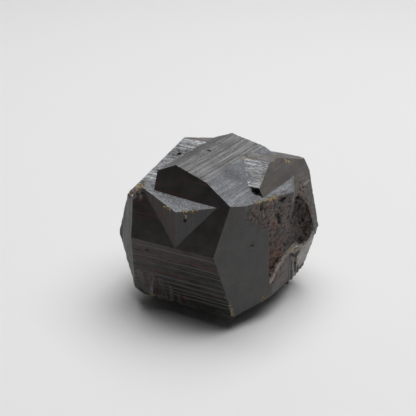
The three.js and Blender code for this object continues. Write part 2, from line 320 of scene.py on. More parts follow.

# %% [markdown]
# Damage and stains don't follow the facets. Bright pyrite shows where the skin is chipped off edges and
# corners, orange limonite sits in small hollows, a pale crust runs along the ledge, and the right flank
# is corroded. Each is a few strokes: a line through points, with a radius. Most of the points were
# worked out by another program, then rounded to half a millimetre and thinned out or moved by hand.

# %% List the damage, stains and painted shade
# kind: strokes of (radius, points), in mm from the crystal's centre
MARKS = {
    "gold": [
        # worn front left tip
        (0.7, [(-13.5, -10.5, 11.0), (-12.0, -11.5, 12.0), (-9.5, -13.5, 13.0)]),
        # rims of the wedge
        (0.2, [(-1.5, -17.5, 11.0), (0.0, -18.0, 11.0)]),
        (0.15, [(4.0, -17.5, 10.5), (4.0, -17.5, 9.5)]),
        (0.2, [(3.5, -18.0, 11.0), (5.0, -17.5, 11.0), (6.0, -17.0, 11.5)]),
        # flank's rim
        (0.25, [(15.5, -6.5, 11.5), (16.5, -1.0, 11.0), (17.0, 1.5, 11.0)]),
        # right edge of the small bright facet
        (0.12, [(13.0, 7.5, 17.0), (13.0, 6.0, 16.5)]),
        (0.12, [(13.5, 3.0, 15.5)]),
        (0.12, [(14.0, 0.0, 15.0), (14.0, -1.0, 14.5)]),
        # top at the back
        (0.45, [(10.5, 13.5, 15.5), (12.0, 12.0, 16.0)]),
        (0.35, [(13.5, 12.0, 15.5), (14.0, 13.5, 15.0)]),
        # top edge of the small bright facet
        (0.2, [(6.0, 4.5, 17.0), (8.0, 6.0, 17.0), (9.0, 6.0, 17.0)]),
        # foot
        (0.25, [(-8.0, -13.0, -14.0), (-5.5, -13.0, -14.5)]),
        (0.2, [(12.5, -14.5, -8.5)]),
        (0.22, [(13.5, -14.0, -11.0), (13.5, -13.0, -12.5)]),
        (0.3, [(14.0, -13.0, -13.5)]),
        (0.2, [(17.0, -5.0, -12.5), (17.5, -3.0, -12.0)]),
        # top edge of the upper front
        (0.2, [(-6.5, -12.0, 17.0), (-5.5, -12.0, 17.0)]),
    ],
    "orange": [
        # specks on the flank
        (0.25, [(17.0, 2.5, -3.5), (17.0, 2.5, -4.5)]),
        (0.2, [(16.5, 1.0, 5.0), (16.5, 1.0, 3.5)]),
        (0.2, [(15.5, -7.0, 12.0)]),
        (0.2, [(15.5, -5.5, 10.5)]),
        (0.2, [(16.0, -2.5, 9.5)]),
        (0.2, [(16.0, -2.0, 4.5)]),
        (0.2, [(18.0, 4.0, -6.0)]),
        (0.2, [(18.0, -0.5, -7.0)]),
        # foot of the front
        (0.3, [(2.0, -13.5, -12.5)]),
    ],
    "ledge": [
        (0.5, [(18.0, -2.5, -8.5), (18.0, 0.5, -6.5), (18.0, 5.0, -5.0), (18.5, 10.0, -4.0)]),
        (0.5, [(18.5, 8.0, -5.5), (20.0, 11.5, -4.0), (20.5, 16.0, -2.5)]),
    ],
    "crust": [
        # under the ledge
        (0.7, [(18.0, 9.5, -7.0), (18.0, 11.0, -9.0)]),
        (0.4, [(18.0, 10.0, -8.0), (18.0, 10.5, -10.5), (17.5, 12.5, -13.5)]),
        (0.3, [(18.0, 12.0, -9.5), (17.0, 14.0, -12.5)]),
        # thin lines above the hollow
        (0.2, [(15.5, 12.5, 11.5), (17.0, 9.5, 11.0), (18.0, 7.5, 10.0), (18.0, 7.5, 8.0)]),
        (0.25, [(17.0, 16.0, 9.0), (17.0, 19.0, 9.0)]),
    ],
    "corroded": [
        # flank
        (1.7, [(15.0, -8.0, 9.5), (16.0, -4.0, 8.0)]),
        (2.2, [(16.0, -4.0, 7.5), (16.5, 1.0, 6.0), (17.5, 4.5, 7.0)]),
        (1.2, [(16.0, -2.0, 10.0), (17.0, 4.0, 9.5)]),
        (2.6, [(16.5, 2.0, 2.5), (16.5, 3.0, -2.0), (17.0, 2.0, -5.0)]),
        (1.6, [(16.5, 0.5, -5.0), (17.5, -1.5, -8.0)]),
        (2.0, [(17.5, 5.5, 5.0), (17.5, 7.0, -0.5)]),
        # deep hollow
        (3.0, [(17.5, 13.5, 4.5), (18.0, 12.5, -1.5)]),
        (1.5, [(17.0, 15.0, 8.5), (17.5, 13.0, 7.0)]),
        # worn tip
        (1.2, [(-15.0, -10.0, 9.0), (-10.0, -15.0, 11.5)]),
    ],
    "ruddy": [
        # under the worn tip
        (0.2, [(-10.5, -15.5, 10.0), (-8.0, -15.5, 10.5)]),
        # behind the wedge
        (0.15, [(-7.0, -15.0, 13.0), (3.5, -14.5, 12.5), (9.5, -15.0, 12.5)]),
        # flank
        (2.4, [(16.5, 0.5, 1.5), (16.5, 2.5, -2.0), (17.0, 1.5, -5.0)]),
        (1.5, [(17.5, 12.5, -2.0)]),
        (1.5, [(18.0, 2.0, -9.0), (18.0, 4.0, -11.0)]),
        # seam before the flank
        (0.4, [(17.5, -3.0, 0.0), (17.5, -3.0, -10.0)]),
    ],
    "sooty": [
        # deep hollow, whose middle gets painted shade
        (1.6, [(17.5, 13.0, 7.0), (17.5, 13.5, 3.0), (17.5, 13.5, 0.5)]),
    ],
    "crack": [
        # flank
        (0.35, [(17.0, 1.5, 6.5), (17.0, 2.5, 5.0), (17.0, 2.5, 4.0)]),
        (0.3, [(15.0, -4.5, 10.5), (15.5, -4.5, 9.5)]),
        (0.3, [(16.5, 3.0, 9.5), (17.0, 4.0, 9.5)]),
    ],
    "upright": [
        # foot
        (0.9, [(-11.5, -15.0, -8.0), (-11.0, -13.5, -12.5)]),
        (0.9, [(-9.5, -15.0, -7.5), (-9.0, -13.5, -13.5)]),
        (0.9, [(-7.5, -15.0, -8.5), (-7.5, -13.0, -13.5)]),
        (0.9, [(-6.0, -15.0, -7.5), (-5.5, -13.0, -14.0)]),
        (0.9, [(-4.0, -15.0, -9.0), (-4.0, -13.0, -14.0)]),
        (0.5, [(-1.5, -14.5, -10.0), (-2.0, -13.0, -14.0)]),
        (0.5, [(0.5, -14.5, -11.0), (0.0, -13.0, -14.0)]),
    ],
    "smooth": [
        # front, lower right
        (3.5, [(3.0, -14.0, -12.0), (14.0, -14.5, -9.0)]),
    ],
}
print("strokes:", {kind: len(strokes) for kind, strokes in MARKS.items()})

# %% [markdown]
# A mark's strength is 1 on its line, a half at its radius and 0 at twice that. The relief and the
# material add noise before they cut at a half, which makes the outlines ragged. The points of a stroke
# are only roughly on the crystal, so each is first moved to the nearest point of the skin.

# %% Measure how far every point of the skin is from a stroke
coords = np.array(points)
local = coords - np.array(CENTRE)
point_tree = tree_of(list(enumerate(local)))
print("span from the centre, mm:", local.min(0).round(1).tolist(), local.max(0).round(1).tolist())


def distance_to(path):
    """From every point of the skin to the line through the path, once the path is laid onto the skin."""
    path = [point_tree.find(p)[0] for p in path]
    nearest_yet = np.full(len(local), np.inf)
    for a, b in zip(path, path[1:] or path):
        a, along = np.array(a), np.subtract(b, a)
        t = np.clip((local - a) @ along / max(along @ along, 1e-9), 0, 1)
        nearest_yet = np.minimum(nearest_yet, np.linalg.norm(local - a - t[:, None] * along, axis=1))
    return nearest_yet


def strength(strokes):
    """The strongest of a kind's strokes at every point."""
    return np.max([np.clip(1 - distance_to(path) / (2 * radius), 0, 1) for radius, path in strokes], axis=0)


# %% [markdown]
# Outer edges wear first, where they are sharp and belong to a facet of some width. The treads and risers
# of growth steps are too narrow to count. No strokes are drawn for the far side, so it gets its chips and
# specks at random along such edges.

# %% Find the edges that wear, and chip the far side
SHARP = math.radians(22)
WIDE = 1.0               # mm, mean width of a facet
FAR_BACK, FAR_LEFT = 6, -12          # mm from the centre
widths = np.array([2 * f.calc_area() / f.calc_perimeter() for f in facets.faces])
worn_points = []
for edge in facets.edges:
    one, two = edge.link_faces
    sharp = edge.is_convex and edge.calc_face_angle() > SHARP
    if sharp and max(widths[one.index], widths[two.index]) > WIDE:
        worn_points += edge_points[edge.index]
far_side = [i for i in worn_points if local[i][1] > FAR_BACK or local[i][0] < FAR_LEFT]
for kind, count, largest in (("gold", 20, 0.4), ("orange", 14, 0.3)):
    MARKS[kind] += [(rng.uniform(0.15, largest), [local[i]]) for i in rng.choice(far_side, count)]
print("points on worn edges:", len(worn_points), "of them on the far side:", len(far_side))

# %% Measure every mark and the edge wear
EDGE_REACH = 0.9         # mm
marks = {kind: strength(strokes) for kind, strokes in MARKS.items()}
edge_tree = tree_of([(i, points[i]) for i in worn_points])
edge_distance = np.array([edge_tree.find(p)[2] for p in points])
marks["edge"] = np.clip(1 - edge_distance / EDGE_REACH, 0, 1)
print("points marked:", {kind: int((values > 0.5).sum()) for kind, values in marks.items()})

# %% [markdown]
# The points and triangles become a mesh. Marks are stored on its points, where they blend. A facet's
# traits are stored on the corners of its triangles, so that they change sharply at an edge. Attributes
# carry both into the relief and the material. Two patches of the lower front differ from the rest of it:
# upright lines at the foot, which run up the slope, and a smoother lower right.

# %% Build the fine mesh
AT_THE_FOOT = (1.60, 0.60, 0.10, 0.13, 0.3, 0.36)       # traits in the order of the table
SMOOTH_FOOT = (0.06, 0.45, 0.10, 0.00, 0.1, 0.54)
RUNS = {"upright": (0.00, -0.33, 0.94), "crust": (0.00, 0.00, 1.00), "ledge": LEDGE_RUNS}
TURNED = 0.4             # where these marks are stronger, the lines run their way
tris = np.array(triangles)
corners = tris.ravel()
owner = np.array(owner)
skin = bpy.data.meshes.new("pyrite_crystal_skin")
skin.from_pydata((coords * MM).tolist(), [], tris.tolist())


def store(name, values, kind="FLOAT", domain="POINT"):
    layer = skin.attributes.new(name, kind, domain)
    field = "vector" if kind == "FLOAT_VECTOR" else "value"
    layer.data.foreach_set(field, np.ravel(values).astype(np.float32))


corner_axes = np.repeat(axes[owner], 3, axis=0)
for kind, axis in RUNS.items():
    corner_axes[marks[kind][corners] > TURNED] = axis
looks = np.repeat(LOOKS[nearest][owner], 3, axis=0)
on_front = np.repeat(nearest[owner] == list(FINISHES).index(LOWER_FRONT), 3)
share = (on_front * np.clip(marks.pop("smooth")[corners] * 2, 0, 1))[:, None]
looks = looks * (1 - share) + np.array(SMOOTH_FOOT) * share
looks[marks["upright"][corners] > 0.5] = AT_THE_FOOT
for kind, values in marks.items():
    store(kind, values)
for trait, values in zip(TRAITS, looks.T):
    store(trait, values, domain="CORNER")
store("axis", corner_axes, "FLOAT_VECTOR", "CORNER")
crystal = add_object("pyrite_crystal_skin", skin)
print("skin:", len(skin.vertices), "points,", len(skin.polygons), "triangles")

# %% [markdown]
# Relief and colour both come from nodes, and node trees built by hand in a script get long. A few helpers
# keep them readable: each adds one node, links or sets its inputs, and hands back its output.

# %% Small helpers for node trees
def put(tree, kind, inputs=(), **settings):
    """Adds a node; inputs is {socket name or number: value or output socket}."""
    node = tree.nodes.new(kind)
    for name, value in settings.items():
        setattr(node, name, value)
    for name, value in dict(inputs).items():
        if isinstance(value, bpy.types.NodeSocket):
            tree.links.new(value, node.inputs[name])
        else:
            node.inputs[name].default_value = value
    return node


def math_node(tree, operation, *values):
    """One Math node. MULTIPLY_ADD gives the first times the second plus the third."""
    return put(tree, "ShaderNodeMath", enumerate(values), operation=operation).outputs[0]


def product(tree, *values):
    result = values[0]
    for value in values[1:]:
        result = math_node(tree, "MULTIPLY", result, value)
    return result


def total(tree, *values):
    result = values[0]
    for value in values[1:]:
        result = math_node(tree, "ADD", result, value)
    return result


def vector_node(tree, operation, *values):
    return put(tree, "ShaderNodeVectorMath", enumerate(values), operation=operation).outputs[0]


def scaled(tree, vector, factor):
    inputs = {0: vector, "Scale": factor}
    return put(tree, "ShaderNodeVectorMath", inputs, operation="SCALE").outputs[0]


def stretched(tree, place, axis, amount):
    """Coordinates in which a pattern is drawn out along the axis: by 1 / (1 - amount)."""
    dot = put(tree, "ShaderNodeVectorMath", {0: place, 1: axis}, operation="DOT_PRODUCT").outputs["Value"]
    return vector_node(tree, "ADD", place, scaled(tree, axis, product(tree, dot, amount, -1)))


def range_node(tree, value, low, high):
    """Rises smoothly from 0 at low to 1 at high, or the other way round where low is the larger."""
    inputs = {"Value": value, "From Min": low, "From Max": high}
    return put(tree, "ShaderNodeMapRange", inputs, interpolation_type="SMOOTHSTEP").outputs["Result"]


print("helpers: put, math, product, total, vector, scaled, stretched and range nodes")

# %% [markdown]
# A Geometry Nodes tree works like a tool with dials. Its inputs are made first, under names that say what
# they set. Then it is hung on a piece as a modifier, its dials are set, and the result is taken as a
# plain mesh.

# %% Helpers for Geometry Nodes
def named(tree, name, data_type="FLOAT"):
    """Reads one of the mesh's attributes."""
    node = put(tree, "GeometryNodeInputNamedAttribute", {"Name": name}, data_type=data_type)
    return node.outputs["Attribute"]


def new_tree(name, inputs):
    tree = bpy.data.node_groups.new(name, "GeometryNodeTree")
    for label, kind in {"Geometry": "Geometry", **inputs}.items():
        tree.interface.new_socket(label, in_out="INPUT", socket_type="NodeSocket" + kind)
    tree.interface.new_socket("Geometry", in_out="OUTPUT", socket_type="NodeSocketGeometry")
    return tree


def grown(piece, tree, values):
    """The plain mesh that a piece becomes with this tree and these inputs."""
    modifier = piece.modifiers.new(tree.name, "NODES")
    modifier.node_group = tree
    sockets = {item.name: item.identifier for item in tree.interface.items_tree if item.in_out == "INPUT"}
    for label, value in values.items():
        modifier[sockets[label]] = value
    mesh = bpy.data.meshes.new_from_object(piece.evaluated_get(bpy.context.evaluated_depsgraph_get()))
    piece.modifiers.remove(modifier)
    return mesh


print("helpers: named, new_tree and grown")

# %% [markdown]
# Relief that follows a surface is a job for Geometry Nodes: every point moves a little along its normal.
# Sculpting would do too, but it can't be tuned afterwards. The sizes are inputs in millimetres.

# %% The relief tree's dials
SIZES = {
    "Line Depth": 0.05,
    "Line Spacing": 0.6,
    "Lump Depth": 0.5,
    "Lump Size": 1.0,
    "Pit Depth": 0.35,
    "Pit Spacing": 1.0,
    "Crack Depth": 0.5,
    "Wear Depth": 0.10,
    "Chip Depth": 0.16,
    "Crust Height": 0.06,
    "Grit Depth": 0.07,
}
ROUGHNESS = 0.6          # of all noise: how strong the finer layers are
dials = {**dict.fromkeys(SIZES, "Float"), "Seed": "Int", "Finish": "Material"}
relief = new_tree("weathered_relief", dials)


print("dials, mm:", SIZES)


def noise(tree, vector, size, detail=3.0):
    """About -1 to 1."""
    scale = math_node(tree, "DIVIDE", 1.0, size)
    inputs = {"Vector": vector, "Scale": scale, "Detail": detail, "Roughness": ROUGHNESS}
    value = put(tree, "ShaderNodeTexNoise", inputs).outputs["Fac"]
    return math_node(tree, "MULTIPLY_ADD", value, 4.0, -2.0)


def cells(tree, vector, size):
    scale = math_node(tree, "DIVIDE", 1.0, size)
    return put(tree, "ShaderNodeTexVoronoi", {"Vector": vector, "Scale": scale})


# %% [markdown]
# Growth lines are steps of a few hundredths of a millimetre, left as the crystal grew layer by layer.
# Noise that is drawn out along the facet's axis looks just like them. They fade in and out over a few
# millimetres, and the edges have none, because they are rubbed smooth. Frosted facets have grit as well,
# which is the same noise drawn out less.

# %% Growth lines and grit
def growth_lines(tree, given, place, drawn):
    line = noise(tree, drawn, given["Line Spacing"], 1.0)
    line = product(tree, line, given["Line Depth"], named(tree, "lines"))
    off_edge = math_node(tree, "SUBTRACT", 1.0, named(tree, "edge"))
    fading = range_node(tree, noise(tree, place, 5.0, 1.0), -0.5, 0.5)
    return product(tree, line, off_edge, fading)


def grit(tree, given, place, axis):
    frost = named(tree, "frost")
    dashed = stretched(tree, place, axis, product(tree, frost, 0.8))
    return product(tree, noise(tree, dashed, 0.6, 1.0), given["Grit Depth"], frost, frost)


# %% [markdown]
# Corrosion has eaten the flank into rounded lumps, with deep pits between them. Coarse noise and rounded
# cells make the lumps, and a few cells picked by their random colour make the pits. Cracks are drawn as
# marks. The pale crust lies on top, so little corrosion shows through it.

# %% Corrosion, cracks and crust
def corrosion(tree, given, place, pale):
    """Height of the lumps and depth of the pits."""
    corroded = range_node(tree, named(tree, "corroded"), 0.25, 0.7)
    corroded = product(tree, corroded, range_node(tree, pale, 0.5, 0.1))
    rounded = math_node(tree, "SUBTRACT", cells(tree, place, given["Lump Size"]).outputs["Distance"], 0.5)
    lump = total(tree, noise(tree, place, given["Lump Size"], 4.0), rounded)
    lump = product(tree, lump, given["Lump Depth"], 0.5, corroded)
    pit = cells(tree, place, given["Pit Spacing"])
    picked = put(tree, "ShaderNodeSeparateXYZ", {0: pit.outputs["Color"]}).outputs[0]
    pit = range_node(tree, pit.outputs["Distance"], 0.42, 0.12)
    picked = math_node(tree, "GREATER_THAN", picked, 0.45)
    return lump, product(tree, pit, picked, given["Pit Depth"], corroded)


def cracks(tree, given):
    return product(tree, range_node(tree, named(tree, "crack"), 0.2, 0.6), given["Crack Depth"])


def crusts(tree, given, drawn, pale):
    area = range_node(tree, total(tree, pale, product(tree, noise(tree, drawn, 0.6), 0.3)), 0.3, 0.6)
    bumps = total(tree, product(tree, noise(tree, drawn, 0.6), 1.5), 0.5)
    return product(tree, area, bumps, given["Crust Height"])


# %% [markdown]
# An edge of a real crystal is never one clean line. It is rubbed back in patches a few millimetres long,
# and chipped where it was knocked. The chips are where bare pyrite shows.

# %% Worn edges and chips
def wear(tree, given, place):
    patches = range_node(tree, noise(tree, place, 2.2, 2.0), -0.1, 0.5)
    uneven = total(tree, product(tree, noise(tree, place, 0.8, 2.0), 0.7), 0.5)
    return product(tree, uneven, patches, given["Wear Depth"], named(tree, "edge"))


def chips(tree, given, place):
    area = total(tree, named(tree, "gold"), product(tree, noise(tree, place, 0.5), 0.25))
    uneven = total(tree, product(tree, noise(tree, place, 0.6, 2.0), 0.5), 0.6)
    return product(tree, range_node(tree, area, 0.3, 0.6), uneven, given["Chip Depth"])


# %% [markdown]
# The heights are added up, the depths taken away, and each point moves along its normal. The height is
# also kept as an attribute, so that the material can paint shade into the bottoms of the pits.

# %% Put the relief tree together
def grow_relief(tree):
    given = put(tree, "NodeGroupInput").outputs
    seed = put(tree, "ShaderNodeCombineXYZ", {0: product(tree, given["Seed"], 7.3)}).outputs[0]
    place = scaled(tree, put(tree, "GeometryNodeInputPosition").outputs[0], 1 / MM)
    place = vector_node(tree, "ADD", place, seed)
    axis = named(tree, "axis", "FLOAT_VECTOR")
    drawn = stretched(tree, place, axis, 0.95)
    pale = math_node(tree, "MAXIMUM", named(tree, "crust"), named(tree, "ledge"))
    lumps, pits = corrosion(tree, given, place, pale)
    lines = growth_lines(tree, given, place, drawn)
    raised = total(tree, lines, lumps, grit(tree, given, place, axis), crusts(tree, given, drawn, pale))
    lowered = total(tree, wear(tree, given, place), chips(tree, given, place), pits, cracks(tree, given))
    height = math_node(tree, "SUBTRACT", raised, lowered)
    move = scaled(tree, put(tree, "GeometryNodeInputNormal").outputs[0], product(tree, height, MM))
    inputs = {"Geometry": given["Geometry"], "Name": "relief", "Value": height}
    kept = put(tree, "GeometryNodeStoreNamedAttribute", inputs, data_type="FLOAT", domain="POINT")
    moved = put(tree, "GeometryNodeSetPosition", {"Geometry": kept.outputs[0], "Offset": move})
    real = put(tree, "GeometryNodeRealizeInstances", {"Geometry": moved.outputs[0]})
    done = put(tree, "GeometryNodeSetMaterial", {"Geometry": real.outputs[0], "Material": given["Finish"]})
    put(tree, "NodeGroupOutput", {0: done.outputs[0]})


grow_relief(relief)
print("relief tree:", len(relief.nodes), "nodes")

# %% [markdown]
# All the minerals here are grainy: none has one even colour. So the three finishes share one effect, a
# grain of specks of a chosen size, with hard or soft limits. As a shader group it is made once and placed
# in each material.

# %% The grain that the materials share
grain_group = bpy.data.node_groups.new("mineral_grain", "ShaderNodeTree")
for label, kind, value in (
    ("Place", "Vector", (0, 0, 0)),        # mm
    ("Size", "Float", 0.5),                # mm
    ("Detail", "Float", 3.0),
    ("Cover", "Float", 0.5),               # share of the surface, roughly
    ("Softness", "Float", 0.1),
):
    dial = grain_group.interface.new_socket(label, in_out="INPUT", socket_type="NodeSocket" + kind)
    dial.default_value = value
grain_group.interface.new_socket("Grain", in_out="OUTPUT", socket_type="NodeSocketFloat")


def fill_grain(tree):
    given = put(tree, "NodeGroupInput").outputs
    scale = math_node(tree, "DIVIDE", 1.0, given["Size"])
    inputs = {"Vector": given["Place"], "Scale": scale, "Detail": given["Detail"], "Roughness": ROUGHNESS}
    value = put(tree, "ShaderNodeTexNoise", inputs).outputs["Fac"]
    level = math_node(tree, "MULTIPLY_ADD", given["Cover"], -0.4, 0.7)      # noise spans about 0.3 to 0.7
    low = math_node(tree, "SUBTRACT", level, given["Softness"])
    high = total(tree, level, given["Softness"])
    put(tree, "NodeGroupOutput", {0: range_node(tree, value, low, high)})


fill_grain(grain_group)
print("grain group:", len(grain_group.nodes), "nodes")


# %% Helpers for materials
def grain(tree, place, size, cover=0.5, softness=0.1, detail=3.0):
    """A mask of specks of this size, in mm."""
    inputs = {"Place": place, "Size": size, "Detail": detail, "Cover": cover, "Softness": softness}
    return put(tree, "ShaderNodeGroup", inputs, node_tree=grain_group).outputs[0]


def place_of(tree):
    """Place on the piece, in mm."""
    return scaled(tree, put(tree, "ShaderNodeTexCoord").outputs["Object"], 1 / MM)


def blend_color(tree, amount, first, second):
    """The first colour at 0, the second at 1."""
    node = tree.nodes.new("ShaderNodeMix")
    node.data_type = "RGBA"
    for name, value in (("Factor_Float", amount), ("A_Color", first), ("B_Color", second)):
        socket = next(i for i in node.inputs if i.identifier == name)
        if isinstance(value, bpy.types.NodeSocket):
            tree.links.new(value, socket)
        else:
            socket.default_value = value if name == "Factor_Float" else (*value, 1)
    return next(o for o in node.outputs if o.identifier == "Result_Color")


def bump(tree, height, shader):
    """Height in mm."""
    node = put(tree, "ShaderNodeBump", {"Height": height, "Distance": MM, "Strength": 1.0})
    tree.links.new(node.outputs[0], shader.inputs["Normal"])


def new_finish(name):
    finish = bpy.data.materials.new(name)
    finish.use_nodes = True
    return finish, finish.node_tree, finish.node_tree.nodes["Principled BSDF"]


print("helpers: grain, place_of, blend_color, bump and new_finish")

# %% [markdown]
# The skin is goethite: nearly black, with a soft sheen, and on some facets a thin pale film that looks
# blue-grey or brown. The film's paleness is partly painted sheen, set high on the facets that mirror the
# lit paper. Pictures of stone could be wrapped round it, but they would blur, and not follow the facets. So
# the material is worked out from the place on the crystal and the attributes that are stored on it.

# %% The skin's colours
DARK = (0.0185, 0.0165, 0.0155)
CLOUDED = (0.029, 0.0265, 0.025)
# pale film colours, which also stand in for painted sheen on the facets that mirror the lit paper
WARM_FILM_AND_SHEEN = (0.290, 0.255, 0.220)
COOL_FILM_AND_SHEEN = (0.235, 0.260, 0.295)
# painted highlight: the near-white of glints on frosted grit
PAINTED_GLINT = (0.740, 0.750, 0.780)
RUST = (0.058, 0.022, 0.016)
SCAB = (0.140, 0.075, 0.056)
ASH = (0.265, 0.215, 0.185)
STONE = (0.115, 0.108, 0.102)
# painted shade, near black, for the bottoms of pits, the cracks and the deep hollow
PAINTED_SHADE = (0.010, 0.008, 0.007)
CRUST = (0.400, 0.355, 0.310)
# painted shade: a darker copy of the crust, for its shaded bands
SHADED_CRUST = (0.150, 0.122, 0.103)
ORANGE = (0.210, 0.055, 0.025)
BRASS = (0.640, 0.520, 0.290)
TARNISH = (0.140, 0.085, 0.040)
skin_finish, skin_tree, skin_shader = new_finish("goethite_skin")
print("skin, dark to glint:", DARK, PAINTED_GLINT)

# %% [markdown]
# Most effects need the same few masks. Streaks follow the growth lines, specks are the grit of frosted
# facets, clouds and patches vary things over millimetres, and each mark has an area with a torn outline.

# %% The skin's masks
def read(tree, name, output="Fac"):
    return put(tree, "ShaderNodeAttribute", attribute_name=name).outputs[output]


def ragged(tree, place, name, size, torn, cover=0.5):
    """A mark's area, torn up by grains of this size: whole at 0, loose specks at 1."""
    drawn = read(tree, name)
    holes = product(tree, grain(tree, place, size, cover, 0.2), torn)
    value = math_node(tree, "MULTIPLY_ADD", drawn, 1 - torn, holes)
    return product(tree, range_node(tree, value, 0.44, 0.56), range_node(tree, drawn, 0.0, 0.1))


def skin_masks(tree):
    m = SimpleNamespace(place=place_of(tree), frost=read(tree, "frost"), lines=read(tree, "lines"))
    axis = read(tree, "axis", "Vector")
    m.long_lines = stretched(tree, m.place, axis, 0.96)
    m.dashes = stretched(tree, m.place, axis, product(tree, m.frost, 0.75))
    m.streaks = grain(tree, m.long_lines, 0.45, softness=0.15)
    m.rusty = grain(tree, m.long_lines, 0.9, product(tree, read(tree, "rust"), 0.55), 0.06)
    m.specks = grain(tree, m.dashes, math_node(tree, "MULTIPLY_ADD", m.frost, 0.2, 0.16), 0.5, 0.06, 1.0)
    m.clouds = grain(tree, m.place, 3.5, softness=0.2)
    patches = grain(tree, stretched(tree, m.place, axis, 0.6), 4.0, softness=0.15)
    m.patchy = math_node(tree, "MAXIMUM", patches, read(tree, "upright"))
    short_lines = stretched(tree, m.place, axis, 0.75)
    crust = ragged(tree, short_lines, "crust", 0.4, 0.4)
    m.crust = math_node(tree, "MAXIMUM", crust, ragged(tree, short_lines, "ledge", 0.5, 0.4))
    m.corroded = ragged(tree, m.place, "corroded", 1.0, 0.45)
    m.orange = ragged(tree, m.place, "orange", 0.35, 0.7)
    m.gold = ragged(tree, m.place, "gold", 0.35, 0.8, 0.4)
    m.ruddy = range_node(tree, read(tree, "ruddy"), 0.2, 0.6)
    return m


masks = skin_masks(skin_tree)
print("masks:", sorted(vars(masks)))

# %% [markdown]
# Where the skin is whole, the film lies on it, and its paleness is partly painted sheen. It is thick along
# the streaks and clouds, and grit breaks it into specks, some of which get painted glints, near-white
# highlights. Rust comes out as thin streaks along the lines, and as a flush near seams.

# %% The colour of the whole skin
def whole_skin(tree, m):
    film_and_sheen = math_node(tree, "MULTIPLY_ADD", product(tree, m.streaks, m.lines, m.patchy), 1.3, 0.55)
    between = math_node(tree, "MULTIPLY_ADD", m.frost, -0.7, 1.0)
    gritty = math_node(tree, "MULTIPLY_ADD", product(tree, m.specks, m.frost), 1.4, between)
    film_and_sheen = product(tree, film_and_sheen, gritty)
    film_and_sheen = product(tree, film_and_sheen, math_node(tree, "MULTIPLY_ADD", m.clouds, 0.35, 0.8), read(tree, "film_and_sheen"))
    film_and_sheen_color = blend_color(tree, read(tree, "cool"), WARM_FILM_AND_SHEEN, COOL_FILM_AND_SHEEN)
    base = blend_color(tree, film_and_sheen, blend_color(tree, m.clouds, DARK, CLOUDED), film_and_sheen_color)
    # painted highlights: near-white glints on the grit of frosted facets, strongest where frost is high
    painted_glints = product(tree, grain(tree, m.dashes, 0.22, detail=2.0), m.streaks)
    base = blend_color(tree, product(tree, painted_glints, m.frost, m.frost, m.patchy, 1.6), base, PAINTED_GLINT)
    base = blend_color(tree, product(tree, m.rusty, 0.7), base, RUST)
    return blend_color(tree, product(tree, m.ruddy, 0.5), base, RUST)


whole = whole_skin(skin_tree, masks)
print("skin material:", len(skin_tree.nodes), "nodes")

# %% [markdown]
# On the corroded flank the skin has turned to crumbs of brown, ash and stone grey, with painted shade,
# nearly black, in the pits, the cracks and the deep hollow. Where it is ruddy there is less ash.

# %% The colour of the corroded skin
def corroded_skin(tree, m):
    not_ruddy = math_node(tree, "MULTIPLY_ADD", m.ruddy, -0.7, 1.0)
    ashen = product(tree, grain(tree, m.place, 0.6, softness=0.2), not_ruddy)
    scab = blend_color(tree, ashen, SCAB, ASH)
    scab = blend_color(tree, product(tree, grain(tree, m.place, 2.4, softness=0.06), 0.75), scab, STONE)
    scab = blend_color(tree, grain(tree, m.place, 0.5, 0.37, 0.08), scab, DARK)
    scab = blend_color(tree, product(tree, grain(tree, m.place, 0.55, 0.08, 0.05), 0.8), scab, ORANGE)
    # painted shade: the deeper the relief and the cracks, the nearer to black
    scab = blend_color(tree, range_node(tree, read(tree, "relief"), -0.1, -0.35), scab, PAINTED_SHADE)
    scab = blend_color(tree, range_node(tree, read(tree, "crack"), 0.25, 0.5), scab, PAINTED_SHADE)
    # painted shade: the middle of the deep hollow is darkened a little
    return blend_color(tree, product(tree, range_node(tree, read(tree, "sooty"), 0.2, 0.7), 0.1), scab, PAINTED_SHADE)


scab = corroded_skin(skin_tree, masks)
print("skin material:", len(skin_tree.nodes), "nodes")

# %% [markdown]
# The marks go on in the order in which they came to lie on the crystal: corrosion, then the crust, whose
# darker bands are painted shade, then limonite. Chips come last, because they cut through everything down
# to the pyrite.

# %% The colour with all its marks
def marked_skin(tree, m, whole, scab):
    base = blend_color(tree, product(tree, m.corroded, 0.9), whole, scab)
    crust_with_painted_shade = blend_color(tree, grain(tree, m.long_lines, 0.25, 0.4, 0.15), CRUST, SHADED_CRUST)
    base = blend_color(tree, m.crust, base, crust_with_painted_shade)
    base = blend_color(tree, m.orange, base, ORANGE)
    bare = blend_color(tree, grain(tree, m.place, 0.3, 0.4), BRASS, TARNISH)
    return blend_color(tree, m.gold, base, bare)


skin_tree.links.new(marked_skin(skin_tree, masks, whole, scab), skin_shader.inputs["Base Color"])
print("skin material:", len(skin_tree.nodes), "nodes")

# %% [markdown]
# Gloss tells the minerals apart as much as colour does. Goethite is a soft mirror, duller where it is
# frosted or streaked. Corrosion, crust and limonite are earthy. Bare pyrite is a metal, and a few of the
# darkest facets are part metal too, which makes them reflect less, because a metal mirrors in its own
# dark colour.

# %% Gloss of the skin
SKIN_IOR = 1.6


